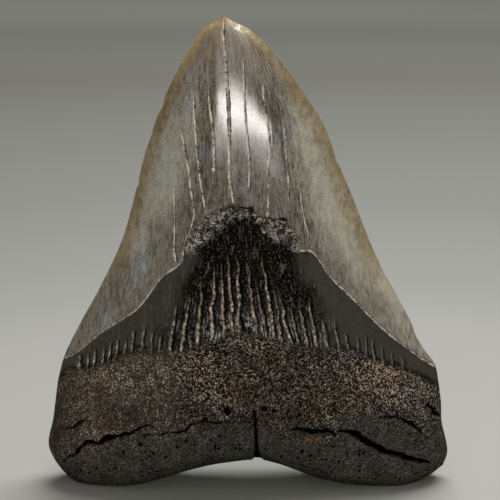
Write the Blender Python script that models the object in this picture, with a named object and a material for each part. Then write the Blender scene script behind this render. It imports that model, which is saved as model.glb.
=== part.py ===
"""Megalodon tooth: one solid, standing on the worn ends of its two root lobes.

The tooth is a front sheet and a back sheet that share one outline.  Each sheet is lofted from rows that run
from the left edge to the right edge: the root's rows rise from the arch between the lobes to the root line,
and the crown's rows rise from the root line to the tip.  The fissures, the cleft, the vessel holes and the
enamel cracks are then cut with tapering blades, and the lobes are ground flat where they stand.

Lengths are in millimetres until the mesh is made.  +X is the viewer's right when the swollen tongue side of
the tooth is in front, -Y is towards the viewer and +Z is up, with the floor at zero.
"""

import bmesh
import bpy
import numpy as np
from mathutils import Vector, noise
from mathutils.bvhtree import BVHTree

MM = 0.001
NAME = "tooth"

# Driving dimensions.
CROWN_FRONT = 11.9        # how far the crown's front swells from the plane of its cutting edges
CROWN_BACK = 5.4          # the same for the flatter back
ROOT_FRONT = 19.2         # the swelling of the root under the middle of the crown
ROOT_BACK = 8.4
ROOT_ROUNDING = 11.0      # radius of the root's lower edge and ends
ROOT_SET_FORWARD = 3.2    # the root's lower rim lies this far in front of the cutting edges
LEDGE = 1.5               # step from the crown out to the root along the root line
SWELL_HEIGHT = 13.0       # distance below the root line at which the root is fully swollen
ENAMEL_THICKNESS = 0.55   # step from the enamel down to the bare band under it
CHIP_DEPTH = 0.9          # depth of the broken patch at the top of the bare band
LUMP_HEIGHT = 0.55        # unevenness of the root's surface
COLUMNS = 40
ROOT_ROWS = 13
CROWN_ROWS = 24

# How the crown's swelling changes from the root line up to the tip, by share of the tooth's height.
BOW_RISE = (0.2, 0.34, 0.45, 0.55, 0.65, 0.75, 0.83, 0.9, 0.955, 1.0)
BOW_SHARE = (1.17, 1.11, 1.03, 1.0, 0.93, 0.81, 0.67, 0.5, 0.32, 0.0)

# The outline, as (x, z) points joined by smooth curves.
BOTTOM = ((-53.3, 2.4), (-51.0, 0.3), (-47.4, -1.7), (-38.5, -2.4), (-31.0, -1.4), (-19.7, 2.1), (-8.0, 5.1),
          (2.6, 6.3), (8.5, 5.0), (19.5, 0.9), (29.5, -1.4), (38.6, -2.4), (46.6, -1.7), (51.4, 0.4), (56.0, 3.9))
ROOT_LEFT = ((-53.3, 2.4), (-55.6, 5.8), (-57.0, 9.8), (-55.6, 17.2), (-54.8, 23.2), (-54.2, 27.8))
ROOT_RIGHT = ((56.0, 3.9), (57.1, 7.6), (55.3, 16.7), (55.2, 21.2), (54.6, 26.2))
ROOT_LINE = ((-54.2, 27.8), (-50.6, 31.4), (-43.6, 32.8), (-38.0, 36.1), (-30.0, 39.3), (-21.4, 39.1),
             (-12.5, 42.0), (-4.1, 44.4), (2.2, 44.3), (9.1, 42.4), (20.0, 40.4), (27.5, 39.4), (36.3, 35.4),
             (46.5, 31.2), (54.6, 26.2))
CROWN_LEFT = ((-54.2, 27.8), (-52.3, 34.8), (-47.7, 44.2), (-41.9, 54.7), (-35.4, 68.6), (-31.0, 84.0),
              (-28.4, 94.2), (-22.9, 109.3), (-18.6, 117.8), (-14.6, 124.3))
CROWN_RIGHT = ((54.6, 26.2), (53.3, 32.4), (49.6, 37.6), (46.6, 44.2), (41.0, 54.7), (35.6, 65.1), (29.4, 80.6),
               (25.1, 90.8), (21.2, 100.9), (16.0, 109.3), (10.3, 117.2), (4.4, 124.3))
TIP = ((-14.6, 124.3), (-12.3, 127.7), (-9.4, 129.6), (-6.4, 131.2), (-3.6, 129.7), (0.3, 127.8), (4.4, 124.3))

# Lower edge of the enamel, from the left cutting edge over the broken patch to the right cutting edge.
ENAMEL_EDGE = ((-54.0, 33.2), (-49.0, 36.0), (-41.5, 42.6), (-31.0, 50.3), (-23.6, 59.9), (-18.2, 64.4),
               (-17.0, 70.7), (-12.9, 75.1), (-10.5, 78.1), (-4.7, 80.2), (0.5, 79.2), (3.5, 77.2), (11.0, 75.4),
               (13.4, 71.7), (14.2, 67.8), (17.6, 67.1), (22.8, 59.9), (28.6, 53.9), (38.2, 43.8),
               (45.2, 37.7), (54.0, 31.2))
# Lower edge of the broken patch, whose upper edge is the enamel's.
CHIP_FLOOR = ((-18.0, 63.8), (-14.2, 66.3), (-8.9, 70.7), (-2.7, 75.8), (1.8, 75.2), (6.3, 69.6), (14.4, 65.4))
# Lower edge of the enamel on the back, which reaches further down.
BACK_ENAMEL_EDGE = ((-54.0, 29.2), (-40.0, 33.7), (-20.0, 38.2), (0.0, 40.2), (20.0, 37.7), (40.0, 32.7),
                    (54.0, 27.7))

# Blades: the route as (x, z) points on the front, the width and the depth of the cut.
FISSURES = {
    "left_fissure": (((-51.5, 7.2), (-48.8, 9.2), (-46.4, 12.2), (-42.1, 13.3), (-35.8, 15.5), (-31.8, 17.0),
                      (-26.2, 19.1)), 1.5, 3.6),
    "left_fissure_branch": (((-29.4, 16.4), (-21.4, 17.2), (-16.4, 18.8), (-13.0, 20.5), (-5.0, 20.8),
                             (1.5, 21.1)), 0.9, 1.8),
    "left_upper_fissure": (((-52.0, 16.8), (-47.2, 18.9), (-44.0, 21.2), (-41.7, 23.8)), 1.0, 1.6),
    "right_fissure": (((11.4, 18.7), (19.2, 18.0), (24.8, 17.0), (29.0, 17.4), (34.1, 13.4), (40.1, 10.4),
                       (47.1, 8.3), (51.0, 7.2)), 1.9, 4.2),
    "right_upper_fissure": (((36.0, 21.7), (42.3, 20.7), (46.9, 18.3), (50.6, 14.0)), 0.9, 1.8),
    "right_edge_fissure": (((50.0, 23.2), (52.4, 20.6), (54.9, 17.8)), 0.9, 1.4),
    "lower_left_fissure": (((-27.0, 5.8), (-20.7, 6.7), (-14.5, 7.0)), 0.7, 1.0),
    "lower_right_fissure": (((13.0, 8.4), (20.0, 6.2), (27.0, 4.4)), 0.7, 1.0),
    "cleft": (((1.9, 23.6), (2.1, 19.2), (2.2, 14.7), (2.6, 10.2), (3.2, 4.8)), 2.1, 4.2),
}
ENAMEL_CRACKS = {
    "tip_crack": (((-6.6, 127.2), (-6.1, 114.4), (-5.2, 102.4), (-5.1, 88.1), (-3.9, 81.4)), 0.7, 0.6),
    "crack_b": (((-1.3, 120.2), (-0.8, 104.0), (0.3, 93.6), (0.3, 85.2)), 0.6, 0.5),
    "crack_c": (((4.1, 114.1), (5.5, 102.1), (5.6, 91.4), (5.5, 77.6)), 0.6, 0.5),
    "crack_d": (((9.6, 104.2), (10.7, 93.0), (11.3, 83.2)), 0.6, 0.5),
    "crack_f": (((-15.0, 110.2), (-14.2, 96.5), (-12.8, 84.5), (-11.6, 78.6)), 0.7, 0.6),
    "crack_g": (((-18.7, 101.5), (-16.2, 89.5), (-14.6, 77.7), (-15.8, 73.2)), 0.6, 0.5),
}
VESSEL_HOLES = ((-5.8, 23.5, 0.9), (4.6, 24.5, 0.8), (6.8, 23.8, 0.6))      # x, z and radius
VESSEL_HOLE_DEPTH = 3.0

# The grooves that fan out over the bare band, between the root line and the broken patch.
GROOVE_XS = (-19.0, -15.2, -11.6, -8.0, -4.6, -1.0, 3.2, 7.6, 11.6, 15.8, 20.2)
GROOVE_FOOT = 1.0         # the grooves start this far above the root line
GROOVE_HEIGHT = 17.0
GROOVE_LEAN = 0.16        # how much of its x each groove loses on its way up
GROOVE_WIDTH = 0.8
GROOVE_DEPTH = 0.45

CURVE_STEPS = 24          # points worked out between two points of a smooth curve
SLIVER = 0.05             # points this close are made one after the cuts
BLADE_STANDOFF = 2.5      # a blade's back stands this far outside the surface that it cuts


# ---- curves ----------------------------------------------------------------------------------------------

def smooth_curve(points):
    """A dense smooth curve through the points: a Hermite curve with tangents from each point's neighbours."""
    points = np.array(points, dtype=float)
    knots = np.concatenate(([0.0], np.cumsum(np.linalg.norm(np.diff(points, axis=0), axis=1) ** 0.5)))
    slopes = np.gradient(points, knots, axis=0)
    pieces = []
    for i in range(len(points) - 1):
        span = knots[i + 1] - knots[i]
        t = np.linspace(0.0, 1.0, CURVE_STEPS, endpoint=False)[:, None]
        pieces.append((2 * t**3 - 3 * t**2 + 1) * points[i] + (t**3 - 2 * t**2 + t) * span * slopes[i]
                      + (3 * t**2 - 2 * t**3) * points[i + 1] + (t**3 - t**2) * span * slopes[i + 1])
    return np.concatenate(pieces + [points[-1:]])


def along(curve, shares):
    """Points at the given shares of a dense curve's length."""
    length = np.concatenate(([0.0], np.cumsum(np.linalg.norm(np.diff(curve, axis=0), axis=1))))
    wanted = np.asarray(shares) * length[-1]
    return np.stack([np.interp(wanted, length, curve[:, k]) for k in range(2)], axis=1)


def height_on(points, x):
    """Height of a curve that runs from left to right, at the given x."""
    curve = smooth_curve(points)
    return np.interp(x, np.maximum.accumulate(curve[:, 0]), curve[:, 1])


def smooth_step(value, low, high):
    t = np.clip((value - low) / (high - low), 0.0, 1.0)
    return t * t * (3.0 - 2.0 * t)


# ---- the two sheets --------------------------------------------------------------------------------------

def loft_between(bottom, top, left, right):
    """A grid of points between four edges that meet at their ends."""
    across = np.linspace(0.0, 1.0, len(bottom))[None, :, None]
    up = np.linspace(0.0, 1.0, len(left))[:, None, None]
    rows = (1 - across) * left[:, None] + across * right[:, None]
    columns = (1 - up) * bottom[None] + up * top[None]
    corners = ((1 - across) * (1 - up) * bottom[0] + across * (1 - up) * bottom[-1]
               + (1 - across) * up * top[0] + across * up * top[-1])
    return rows + columns - corners


def outline_grid():
    """The (x, z) places of the sheets' points: the root's rows, then the crown's rows."""
    even = np.linspace(0.0, 1.0, COLUMNS + 1)
    crowded_at_ends = 0.5 * even + 0.25 * (1.0 - np.cos(np.pi * even))
    up_root = np.sin(np.linspace(0.0, np.pi / 2, ROOT_ROWS + 1)) * 0.35
    up_root = up_root + 0.65 * np.linspace(0.0, 1.0, ROOT_ROWS + 1) ** 1.25
    up_crown = np.linspace(0.0, 1.0, CROWN_ROWS + 1) ** 1.12
    root_line = along(smooth_curve(ROOT_LINE), crowded_at_ends)
    root = loft_between(along(smooth_curve(BOTTOM), crowded_at_ends), root_line,
                        along(smooth_curve(ROOT_LEFT), up_root), along(smooth_curve(ROOT_RIGHT), up_root))
    crown = loft_between(root_line, along(smooth_curve(TIP), crowded_at_ends),
                         along(smooth_curve(CROWN_LEFT), up_crown), along(smooth_curve(CROWN_RIGHT), up_crown))
    return np.concatenate([root, crown[1:]])


def distance_to_outline(x, z):
    """Distance of each point from the tooth's outline."""
    loops = [smooth_curve(points) for points in (BOTTOM, ROOT_RIGHT, CROWN_RIGHT, TIP, CROWN_LEFT, ROOT_LEFT)]
    outline = np.concatenate(loops)
    points = np.stack([x.ravel(), z.ravel()], axis=1)
    nearest = [np.min(np.linalg.norm(outline - point, axis=1)) for point in points]
    return np.array(nearest).reshape(x.shape)


def place_across(x, z):
    """Place across the crown: -1 on the left cutting edge, 0 on the middle line and 1 on the right."""
    left, right = (smooth_curve(points + tip) for points, tip in
                   ((CROWN_LEFT, TIP[1:4]), (CROWN_RIGHT, TIP[5:2:-1])))
    left_x = np.interp(z, left[:, 1], left[:, 0])
    right_x = np.interp(z, right[:, 1], right[:, 0])
    return np.clip((2.0 * x - left_x - right_x) / np.maximum(right_x - left_x, 0.5), -1.0, 1.0)


def lumps(x, z, size, seed):
    """Smooth unevenness between about -1 and 1."""
    flat = [noise.noise(Vector((a / size, b / size, seed))) for a, b in zip(x.ravel(), z.ravel())]
    return np.array(flat).reshape(x.shape) * 1.6


def crown_depth(x, z, swelling, power_low, power_high):
    """Depth of the crown's face: a rounded lens across, and bowed from the root line to the tip."""
    rise = np.clip(z / TIP[3][1], 0.0, 1.0)
    bow = np.interp(rise, BOW_RISE, BOW_SHARE)
    power = power_low + (power_high - power_low) * smooth_step(rise, 0.25, 0.65)
    across = 1.0 - np.abs(place_across(x, z)) ** power
    return swelling * bow * across ** 1.1


def root_depth(x, z, line_depth, swelling, ledge, rim_distance):
    """Depth of the root's face: it leaves the crown at the ledge and swells to its full bulge below."""
    below = np.clip(height_on(ROOT_LINE, x) - z, 0.0, None)
    swollen = np.sin(np.clip(below / SWELL_HEIGHT, 0.0, 1.0) * np.pi / 2) ** 1.3
    bulge = swelling * (1.0 - 0.42 * np.clip(np.abs(x) / 56.0, 0.0, 1.0) ** 2.2)
    rounding = np.sqrt(1.0 - (1.0 - np.clip(rim_distance / ROOT_ROUNDING, 0.0, 1.0)) ** 2)
    edge_share = np.clip(rim_distance / 2.0, 0.0, 1.0)
    start = line_depth + ledge * edge_share
    return (start + (bulge - start) * swollen) * rounding


def front_relief(x, z, rim_distance):
    """The enamel's lower step, the broken patch and the root's lumps, as height added to the front."""
    above_edge = z - height_on(ENAMEL_EDGE, x)
    relief = ENAMEL_THICKNESS * smooth_step(above_edge, -0.8, 0.8)
    in_patch = smooth_step(z - height_on(CHIP_FLOOR, x), -1.0, 1.0) * smooth_step(-above_edge, -0.4, 1.0)
    in_patch = in_patch * (np.abs(x + 1.8) < 16.6)
    relief = relief - in_patch * CHIP_DEPTH * (0.8 + 0.7 * lumps(x, z, 2.6, 4.0))
    on_root = smooth_step(height_on(ROOT_LINE, x) - z, 0.0, 4.0)
    relief = relief + on_root * LUMP_HEIGHT * (lumps(x, z, 13.0, 1.0) + 0.7 * lumps(x, z, 5.0, 2.0))
    relief = relief + (1.0 - on_root) * 0.12 * lumps(x * 2.2, z * 0.35, 5.0, 3.0)
    return relief * np.clip(rim_distance / 3.0, 0.0, 1.0)


def back_relief(x, z, rim_distance):
    above_edge = z - height_on(BACK_ENAMEL_EDGE, x)
    relief = ENAMEL_THICKNESS * smooth_step(above_edge, -0.8, 0.8)
    hollow = -0.9 * np.exp(-((z - 49.0) / 8.0) ** 2 - (x / 22.0) ** 2)
    on_root = smooth_step(-above_edge, 0.0, 4.0)
    relief = relief + hollow + on_root * LUMP_HEIGHT * (lumps(x, z, 12.0, 6.0) + 0.6 * lumps(x, z, 5.0, 7.0))
    return relief * np.clip(rim_distance / 3.0, 0.0, 1.0)


def sheets():
    """The front and back sheets, as grids of (x, y, z) points that agree on the outline."""
    grid = outline_grid()
    x, z = grid[..., 0], grid[..., 1]
    rim = distance_to_outline(x, z)
    line_z = height_on(ROOT_LINE, x)
    in_root = z < line_z - 1e-6
    rim_y = -ROOT_SET_FORWARD * smooth_step(-z, -46.0, -8.0) * (1.0 - smooth_step(rim, 0.0, 14.0))
    made = []
    for face, swelling, root_swelling, ledge, powers in (
            (-1.0, CROWN_FRONT, ROOT_FRONT, LEDGE, (3.0, 2.1)),
            (1.0, CROWN_BACK, ROOT_BACK, 0.6 * LEDGE, (3.6, 2.6))):
        crown = crown_depth(x, z, swelling, *powers)
        at_line = crown_depth(x, line_z, swelling, *powers)
        depth = np.where(in_root, root_depth(x, z, at_line, root_swelling, ledge, rim), crown)
        relief = front_relief if face < 0 else back_relief
        depth = depth + relief(x, z, rim)
        depth[0, :] = depth[:, 0] = depth[:, -1] = depth[-1, :] = 0.0
        made.append(np.stack([x, rim_y + face * depth, z], axis=-1))
    return made


def sheet_mesh(front, back):
    """One closed mesh of the two sheets, joined along the outline that they share."""
    rows, columns = front.shape[:2]
    mesh = bpy.data.meshes.new(NAME)
    body = bmesh.new()
    points = [[body.verts.new(front[j, i] * MM) for i in range(columns)] for j in range(rows)]
    behind = [[points[j][i] if j in (0, rows - 1) or i in (0, columns - 1) else body.verts.new(back[j, i] * MM)
               for i in range(columns)] for j in range(rows)]
    for j in range(rows - 1):
        for i in range(columns - 1):
            corners = ((j, i), (j, i + 1), (j + 1, i + 1), (j + 1, i))
            body.faces.new([points[a][b] for a, b in corners])
            body.faces.new([behind[a][b] for a, b in reversed(corners)])
    bmesh.ops.triangulate(body, faces=body.faces[:])
    body.to_mesh(mesh)
    body.free()
    return mesh


# ---- cutters ---------------------------------------------------------------------------------------------

def put(name, mesh, collection):
    thing = bpy.data.objects.new(name, mesh)
    collection.objects.link(thing)
    return thing


def as_cutter(cutter):
    cutter.hide_render = True
    cutter.display_type = "WIRE"
    return cutter


def surface_point(surface, x, z):
    """The front's point and outward direction at (x, z), all in millimetres."""
    hit, normal, _, _ = surface.ray_cast(Vector((x, -60.0, z)) * MM, Vector((0.0, 1.0, 0.0)))
    if hit is None:
        hit, normal, _, _ = surface.find_nearest(Vector((x, -8.0, z)) * MM)
    return np.array(hit) / MM, np.array(normal)


def blade(name, surface, route, width, depth, steps, collection):
    """A blade with a kite-shaped section that follows the front's surface and runs out at both ends."""
    places = along(smooth_curve(route), np.linspace(0.0, 1.0, steps + 1))
    body = bmesh.new()
    rings = []
    for k, (x, z) in enumerate(places):
        spot, out = surface_point(surface, x, z)
        run = places[min(k + 1, steps)] - places[max(k - 1, 0)]
        run = np.array((run[0], 0.0, run[1]))
        side = np.cross(out, run)
        side = side / np.linalg.norm(side)
        share = 0.18 + 0.82 * np.sin(np.pi * k / steps) ** 0.7
        ring = (spot + out * BLADE_STANDOFF, spot + side * width * share / 2, spot - out * depth * share,
                spot - side * width * share / 2)
        rings.append([body.verts.new(point * MM) for point in ring])
    for near, far in zip(rings, rings[1:]):
        for k in range(4):
            body.faces.new((near[k], near[(k + 1) % 4], far[(k + 1) % 4], far[k]))
    body.faces.new(rings[0][::-1])
    body.faces.new(rings[-1])
    bmesh.ops.recalc_face_normals(body, faces=body.faces[:])
    mesh = bpy.data.meshes.new(name)
    body.to_mesh(mesh)
    body.free()
    return as_cutter(put(name, mesh, collection))


def vessel_hole(name, surface, x, z, radius, collection):
    """A short round drill, pointing into the root."""
    spot, _ = surface_point(surface, x, z)
    bpy.ops.mesh.primitive_cone_add(vertices=10, radius1=radius * 1.25 * MM, radius2=radius * 0.7 * MM,
                                    depth=2 * VESSEL_HOLE_DEPTH * MM, rotation=(-np.pi / 2, 0.0, 0.0),
                                    location=spot * MM)
    drill = bpy.context.active_object
    drill.name = name
    for holder in drill.users_collection:
        holder.objects.unlink(drill)
    collection.objects.link(drill)
    return as_cutter(drill)


def groove_route(x):
    foot = float(height_on(ROOT_LINE, x)) + GROOVE_FOOT
    reach = GROOVE_HEIGHT * (1.0 - 0.5 * (x / 24.0) ** 2) * (1.0 + 0.18 * np.sin(x * 2.3))
    return ((x, foot), (x * (1.0 - 0.5 * GROOVE_LEAN), foot + 0.5 * reach),
            (x * (1.0 - GROOVE_LEAN), foot + reach))


def floor_block(collection):
    """A block whose top is the floor, which grinds the lobes flat."""
    size = 150.0
    bpy.ops.mesh.primitive_cube_add(size=size * MM, location=(0.0, 0.0, -size / 2 * MM))
    block = bpy.context.active_object
    block.name = "floor_block"
    for holder in block.users_collection:
        holder.objects.unlink(block)
    collection.objects.link(block)
    return as_cutter(block)


def cut(target, cutter):
    modifier = target.modifiers.new(cutter.name, "BOOLEAN")
    modifier.operation = "DIFFERENCE"
    modifier.solver = "MANIFOLD"
    modifier.object = cutter


def close_slivers(target):
    """Merge the hair-thin slivers that the cuts leave behind."""
    modifier = target.modifiers.new("close_slivers", "WELD")
    modifier.merge_threshold = SLIVER * MM


# ---- the tooth -------------------------------------------------------------------------------------------

def fossil_material():
    material = bpy.data.materials.new("fossil_tooth")
    material.use_nodes = True
    surface = material.node_tree.nodes["Principled BSDF"]
    surface.inputs["Base Color"].default_value = (0.095, 0.085, 0.068, 1.0)
    surface.inputs["Roughness"].default_value = 0.35
    surface.inputs["Metallic"].default_value = 0.0
    return material


def centred(front, back):
    """Both sheets moved so that the tooth's middle is over the origin."""
    both = np.concatenate([front.reshape(-1, 3), back.reshape(-1, 3)])
    middle = (both.min(axis=0) + both.max(axis=0)) / 2
    shift = np.array((middle[0], middle[1], 0.0))
    return front - shift, back - shift, shift


def build():
    for thing in list(bpy.data.objects):
        bpy.data.objects.remove(thing, do_unlink=True)
    parts = bpy.data.collections.new("megalodon_tooth")
    cutters = bpy.data.collections.new("cutters")
    for collection in (parts, cutters):
        bpy.context.scene.collection.children.link(collection)

    front, back, shift = centred(*sheets())
    tooth = put(NAME, sheet_mesh(front, back), parts)
    tooth.data.materials.append(fossil_material())
    tooth.data.shade_smooth()
    tooth.data.set_sharp_from_angle(angle=np.radians(40.0))

    surface = BVHTree.FromPolygons([v.co for v in tooth.data.vertices],
                                   [p.vertices for p in tooth.data.polygons])
    moved = np.array((shift[0], shift[2]))
    for name, (route, width, depth) in {**FISSURES, **ENAMEL_CRACKS}.items():
        steps = max(4, len(route) * 2 - 2)
        cut(tooth, blade(name, surface, np.array(route) - moved, width, depth, steps, cutters))
    for k, x in enumerate(GROOVE_XS):
        route = np.array(groove_route(x)) - moved
        cut(tooth, blade(f"groove_{k + 1}", surface, route, GROOVE_WIDTH, GROOVE_DEPTH, 4, cutters))
    for k, (x, z, radius) in enumerate(VESSEL_HOLES):
        cut(tooth, vessel_hole(f"vessel_hole_{k + 1}", surface, x - shift[0], z, radius, cutters))
    cut(tooth, floor_block(cutters))
    close_slivers(tooth)


build()
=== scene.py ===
"""Studio scene of the fossil megalodon tooth, standing on the two lobes of its root.

The tooth is one closed surface: a front sheet and a back sheet that share an outline, worked out as the part's
solid is, on a far finer grid, with the fissures, the broken patch, the grooves and the pits pressed in.  What
is finer than the grid is in the material, which reads smooth distances that are stored on the surface: how far
a place is from the enamel's edge, the root line, the rim, the nearest crack and the nearest fissure.

Lengths are in millimetres until the mesh is made.  +X is the viewer's right, -Y is towards the viewer and +Z is
up, with the floor at zero.
"""

import math

import bpy
import numpy as np
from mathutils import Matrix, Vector, kdtree, noise


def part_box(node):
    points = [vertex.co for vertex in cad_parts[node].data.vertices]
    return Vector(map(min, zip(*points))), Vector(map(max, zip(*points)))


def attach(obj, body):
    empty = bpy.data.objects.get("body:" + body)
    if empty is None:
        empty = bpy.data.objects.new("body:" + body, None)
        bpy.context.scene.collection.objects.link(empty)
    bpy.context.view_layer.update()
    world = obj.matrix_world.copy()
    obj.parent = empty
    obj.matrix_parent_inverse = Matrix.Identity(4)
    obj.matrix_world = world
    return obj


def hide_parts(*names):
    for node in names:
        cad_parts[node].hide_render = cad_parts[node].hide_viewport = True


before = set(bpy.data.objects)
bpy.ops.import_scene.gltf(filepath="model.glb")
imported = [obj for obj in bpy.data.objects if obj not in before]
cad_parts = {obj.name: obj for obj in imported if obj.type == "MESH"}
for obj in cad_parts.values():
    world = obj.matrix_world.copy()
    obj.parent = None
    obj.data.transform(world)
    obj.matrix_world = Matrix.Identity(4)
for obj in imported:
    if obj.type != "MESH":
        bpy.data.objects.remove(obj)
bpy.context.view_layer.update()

MM = 0.001

# ---- driving dimensions, as in the part's source -----------------------------------------------------------

CROWN_FRONT = 11.9
CROWN_BACK = 5.4
ROOT_FRONT = 19.2
ROOT_BACK = 8.4
ROOT_ROUNDING = 11.0
ROOT_SET_FORWARD = 3.2
LEDGE = 1.5
SWELL_HEIGHT = 13.0
ENAMEL_THICKNESS = 0.55
CHIP_DEPTH = 0.9
LUMP_HEIGHT = 0.55

BOW_RISE = (0.2, 0.34, 0.45, 0.55, 0.65, 0.75, 0.83, 0.9, 0.955, 1.0)
BOW_SHARE = (1.17, 1.11, 1.03, 1.0, 0.93, 0.81, 0.67, 0.5, 0.32, 0.0)

BOTTOM = ((-53.3, 2.4), (-51.0, 0.3), (-47.4, -1.7), (-38.5, -2.4), (-31.0, -1.4), (-19.7, 2.1), (-8.0, 5.1),
          (2.6, 6.3), (8.5, 5.0), (19.5, 0.9), (29.5, -1.4), (38.6, -2.4), (46.6, -1.7), (51.4, 0.4), (56.0, 3.9))
ROOT_LEFT = ((-53.3, 2.4), (-55.6, 5.8), (-57.0, 9.8), (-55.6, 17.2), (-54.8, 23.2), (-54.2, 27.8))
ROOT_RIGHT = ((56.0, 3.9), (57.1, 7.6), (55.3, 16.7), (55.2, 21.2), (54.6, 26.2))
ROOT_LINE = ((-54.2, 27.8), (-50.6, 31.4), (-43.6, 32.8), (-38.0, 36.1), (-30.0, 39.3), (-21.4, 39.1),
             (-12.5, 42.0), (-4.1, 44.4), (2.2, 44.3), (9.1, 42.4), (20.0, 40.4), (27.5, 39.4), (36.3, 35.4),
             (46.5, 31.2), (54.6, 26.2))
CROWN_LEFT = ((-54.2, 27.8), (-52.3, 34.8), (-47.7, 44.2), (-41.9, 54.7), (-35.4, 68.6), (-31.0, 84.0),
              (-28.4, 94.2), (-22.9, 109.3), (-18.6, 117.8), (-14.6, 124.3))
CROWN_RIGHT = ((54.6, 26.2), (53.3, 32.4), (49.6, 37.6), (46.6, 44.2), (41.0, 54.7), (35.6, 65.1), (29.4, 80.6),
               (25.1, 90.8), (21.2, 100.9), (16.0, 109.3), (10.3, 117.2), (4.4, 124.3))
TIP = ((-14.6, 124.3), (-12.3, 127.7), (-9.4, 129.6), (-6.4, 131.2), (-3.6, 129.7), (0.3, 127.8), (4.4, 124.3))

ENAMEL_EDGE = ((-54.0, 33.2), (-49.0, 36.0), (-41.5, 42.6), (-31.0, 50.3), (-23.6, 59.9), (-18.2, 64.4),
               (-17.0, 70.7), (-12.9, 75.1), (-10.5, 78.1), (-4.7, 80.2), (0.5, 79.2), (3.5, 77.2), (11.0, 75.4),
               (13.4, 71.7), (14.2, 67.8), (17.6, 67.1), (22.8, 59.9), (28.6, 53.9), (38.2, 43.8),
               (45.2, 37.7), (54.0, 31.2))
CHIP_FLOOR = ((-18.0, 63.8), (-14.2, 66.3), (-8.9, 70.7), (-2.7, 75.8), (1.8, 75.2), (6.3, 69.6), (14.4, 65.4))
BACK_ENAMEL_EDGE = ((-54.0, 29.2), (-40.0, 33.7), (-20.0, 38.2), (0.0, 40.2), (20.0, 37.7), (40.0, 32.7),
                    (54.0, 27.7))

# ---- finer features: places are (x, z) on the face, before the tooth is centred -----------------------------

# Cracks in the front's enamel from left to right: the route from the top down, and its strength.
FRONT_CRACKS = (
    (((-20.6, 86.0), (-20.3, 75.4), (-20.4, 67.1), (-19.9, 64.1)), 0.55),
    (((-18.7, 101.5), (-17.3, 94.6), (-16.2, 89.5), (-15.7, 84.4), (-14.8, 77.2), (-15.9, 73.5), (-17.2, 66.5)), 0.8),
    (((-15.0, 110.2), (-14.7, 103.5), (-14.2, 96.5), (-13.6, 89.7), (-12.7, 84.5), (-11.4, 78.2)), 1.0),
    (((-10.9, 112.5), (-10.5, 107.4), (-9.8, 102.3), (-9.4, 97.9), (-9.3, 93.5), (-9.4, 90.2)), 0.9),
    (((-6.6, 131.0), (-6.8, 126.5), (-6.2, 121.4), (-5.8, 114.4), (-5.3, 108.4), (-5.1, 102.4), (-5.1, 88.1),
      (-3.9, 81.4)), 1.0),
    (((-1.3, 120.3), (-1.1, 112.8), (-0.8, 104.0), (-0.3, 98.8), (0.3, 93.6), (0.3, 85.5)), 0.7),
    (((4.1, 114.1), (4.4, 108.1), (5.5, 102.1), (6.0, 96.6), (5.6, 91.4), (5.5, 84.5), (5.5, 76.5)), 0.9),
    (((9.6, 104.1), (10.2, 98.2), (10.7, 93.0), (11.2, 87.5), (11.4, 82.0)), 0.6),
    (((14.3, 84.7), (15.4, 77.2), (16.6, 72.4), (17.8, 67.6)), 0.35),
)
BACK_CRACKS = (
    (((-24.0, 80.0), (-22.0, 66.0), (-21.0, 52.0)), 0.5),
    (((-15.0, 104.0), (-14.0, 88.0), (-14.5, 70.0)), 0.8),
    (((-8.5, 118.0), (-7.5, 96.0), (-8.0, 72.0), (-9.0, 50.0)), 1.0),
    (((-3.0, 112.0), (-1.5, 90.0), (-2.0, 74.0)), 0.6),
    (((3.0, 108.0), (4.0, 86.0), (5.5, 60.0)), 0.9),
    (((9.5, 98.0), (10.5, 82.0), (12.5, 64.0)), 0.6),
    (((19.0, 84.0), (21.5, 66.0), (23.0, 50.0)), 0.5),
)

# Tan ridges that fan out over the bare band, from left to right: x at the foot, x at the top, height of the
# top above the root line, and strength.
STRIAE = (
    (-48.0, -47.6, 4.0, 0.7), (-45.6, -45.2, 4.5, 0.75), (-43.8, -43.4, 5.5, 0.8), (-41.0, -40.5, 4.8, 0.7),
    (-39.2, -38.8, 5.0, 0.8), (-37.2, -36.9, 5.2, 0.7), (-34.6, -34.2, 4.0, 0.65), (-32.6, -32.2, 6.0, 0.75),
    (-29.6, -29.0, 6.5, 0.7), (-27.0, -26.4, 6.0, 0.65), (-24.8, -24.2, 4.5, 0.5), (-21.9, -20.0, 11.6, 0.8),
    (-18.7, -16.8, 11.0, 0.9), (-14.0, -13.0, 14.0, 1.0), (-10.4, -9.4, 18.0, 1.0), (-6.6, -7.2, 17.0, 0.75),
    (-4.0, -5.4, 19.5, 0.95), (-2.6, -2.8, 19.5, 0.9), (2.6, 0.2, 17.6, 0.9), (5.2, 2.4, 14.0, 0.45),
    (7.4, 4.4, 19.0, 1.0), (9.4, 7.5, 14.0, 0.5), (12.0, 8.6, 11.5, 0.95), (14.0, 12.1, 9.4, 0.6),
    (16.8, 14.5, 10.5, 0.7), (19.4, 17.2, 11.0, 0.95), (22.0, 20.6, 8.2, 0.85), (25.2, 23.8, 7.8, 0.9),
    (28.2, 26.8, 5.4, 0.6), (31.2, 30.6, 5.0, 0.4), (33.6, 32.8, 7.0, 0.5), (35.8, 34.6, 6.8, 0.5),
    (38.2, 37.4, 5.0, 0.35), (41.0, 40.2, 4.2, 0.3), (44.0, 43.2, 4.0, 0.3),
)

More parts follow.
